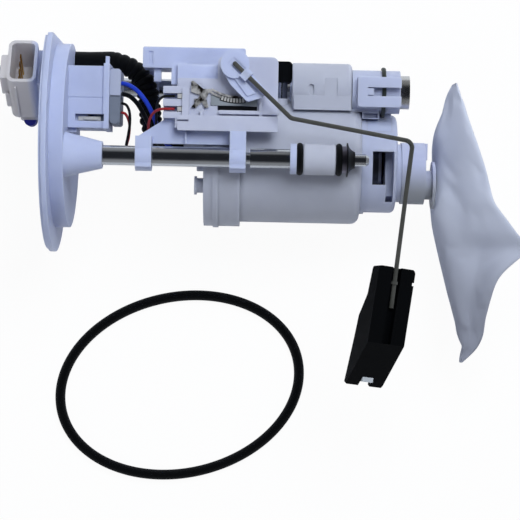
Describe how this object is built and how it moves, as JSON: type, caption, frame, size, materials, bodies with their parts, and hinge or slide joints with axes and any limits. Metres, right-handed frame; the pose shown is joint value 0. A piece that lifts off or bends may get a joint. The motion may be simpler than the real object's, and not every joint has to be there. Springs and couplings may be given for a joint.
{
  "type": "fuel pump",
  "caption": "In-tank fuel pump module with sealed flange, guide columns, level sender and float, filter case, pressure regulator and mesh strainer",
  "frame": {"origin": "centre of the flange's seating face on the axis of the spigot that enters the tank opening", "axes": "+X along the spigot axis from the flange into the tank, towards the strainer; +Y towards the flat side of the flange; +Z towards the side with the front guide rod and the level sender"},
  "size_m": [0.2981, 0.2475, 0.1276],
  "materials": {
    "natural_plastic": "natural acetal, slightly translucent, semi-gloss",
    "cream_plastic": "cream acetal",
    "black_plastic": "black moulded",
    "blue_plastic": "dark blue moulded",
    "grey_plastic": "grey moulded",
    "brass": "bright",
    "zinc_steel": "zinc plated, smooth",
    "steel": "drawn",
    "aluminium": "drawn",
    "black_rubber": "matte fuel-proof rubber",
    "card": "printed ceramic with resistor track",
    "magnet": "sintered ferrite",
    "copper": "enamelled copper on iron",
    "filter_paper": "pleated paper",
    "mesh_nylon": "fine woven nylon",
    "blue_lead": "insulated lead",
    "black_lead": "insulated lead",
    "red_lead": "insulated lead"
  },
  "bodies": {
    "module": {"flange_cover": "natural_plastic", "socket_blades": "brass", "vent_plug": "blue_plastic", "outlet_nipple": "zinc_steel", "inner_terminals": "zinc_steel", "harness_plug": "grey_plastic", "guide_rods": "zinc_steel", "upper_sleeves": "zinc_steel", "middle_sleeves": "zinc_steel", "lower_sleeves": "zinc_steel", "backing_washers": "natural_plastic", "rubber_cushions": "black_rubber", "end_washers": "zinc_steel", "push_nuts": "black_plastic", "rod_bracket": "natural_plastic", "sender_housing": "natural_plastic", "resistor_card": "card", "sender_terminals": "zinc_steel", "collector_contacts": "steel", "filter_cap": "natural_plastic", "filter_case": "natural_plastic", "filter_element": "filter_paper", "pump_holder": "natural_plastic", "pump_can": "steel", "pump_outlet_cover": "black_plastic", "pump_inlet_cover": "aluminium", "motor_magnets": "magnet", "motor_brushes": "magnet", "check_valve_spring": "steel", "regulator_can": "aluminium", "regulator_spring": "steel", "regulator_clip": "black_plastic", "rubber_elbow": "black_rubber", "riser_tube": "zinc_steel", "fuel_hose": "black_rubber", "blue_wire": "blue_lead", "black_wire": "black_lead", "thin_black_wire": "black_lead", "thin_red_wire": "red_lead", "suction_neck": "natural_plastic", "strainer_spine": "natural_plastic", "strainer_sock": "mesh_nylon", "tank_seal": "black_rubber"},
    "float_arm": {"arm_holder": "natural_plastic", "wiper_contacts": "steel", "float_wire": "steel", "float": "black_plastic", "float_clip": "grey_plastic"},
    "pump_rotor": {"motor_armature": "copper", "pump_impeller": "black_plastic"},
    "regulator_piston": {"regulator_valve": "brass"},
    "check_poppet": {"check_valve": "brass"}
  },
  "joints": [
    {"name": "float_arm_swing", "type": "hinge", "parent": "module", "child": "float_arm", "pos_m": [0.0972, 0.0369, 0.048], "axis": [0, 0, 1], "range_deg": [-62, 4]},
    {"name": "rotor_spin", "type": "hinge", "parent": "module", "child": "pump_rotor", "pos_m": [0.14, -0.0115, -0.008], "axis": [1, 0, 0], "continuous": true},
    {"name": "regulator_lift", "type": "slide", "parent": "module", "child": "regulator_piston", "axis": [1, 0, 0], "range_m": [0, 0.001], "stiffness_N_per_m": 200, "deforming": ["regulator_spring"]},
    {"name": "check_valve_lift", "type": "slide", "parent": "module", "child": "check_poppet", "axis": [-1, 0, 0], "range_m": [0, 0.0015], "stiffness_N_per_m": 100, "deforming": ["check_valve_spring"]}
  ]
}
